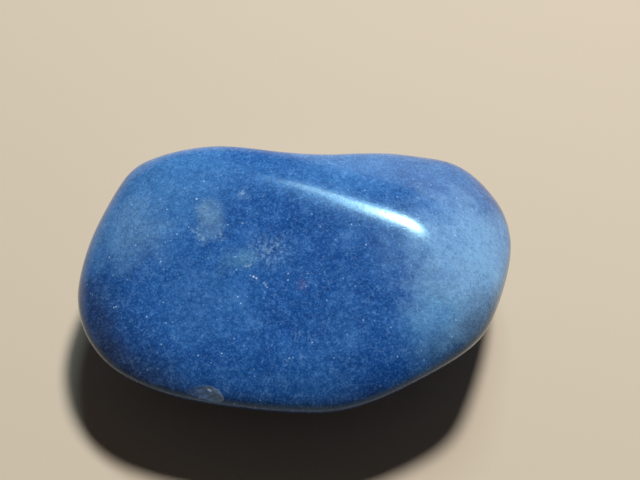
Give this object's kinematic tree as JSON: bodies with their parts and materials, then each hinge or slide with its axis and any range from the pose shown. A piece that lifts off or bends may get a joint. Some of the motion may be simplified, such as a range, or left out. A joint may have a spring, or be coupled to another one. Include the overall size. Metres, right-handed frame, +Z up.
{
  "type": "tumbled blue aventurine stone",
  "caption": "Small tumble-polished stone of blue aventurine quartz, an uneven rounded oblong with a soft ridge along its top, resting on a small worn flat.",
  "frame": {"origin": "centre of the bounding box's footprint, on the small flat that the stone rests on", "axes": "+X along the long axis towards the paler end, +Y from the chipped front edge towards the dipped back edge, +Z up out of the resting surface"},
  "size_m": [0.03, 0.02, 0.0119],
  "materials": {
    "blue_aventurine": "polished"
  },
  "bodies": {
    "root": {"stone": "blue_aventurine"}
  },
  "joints": []
}
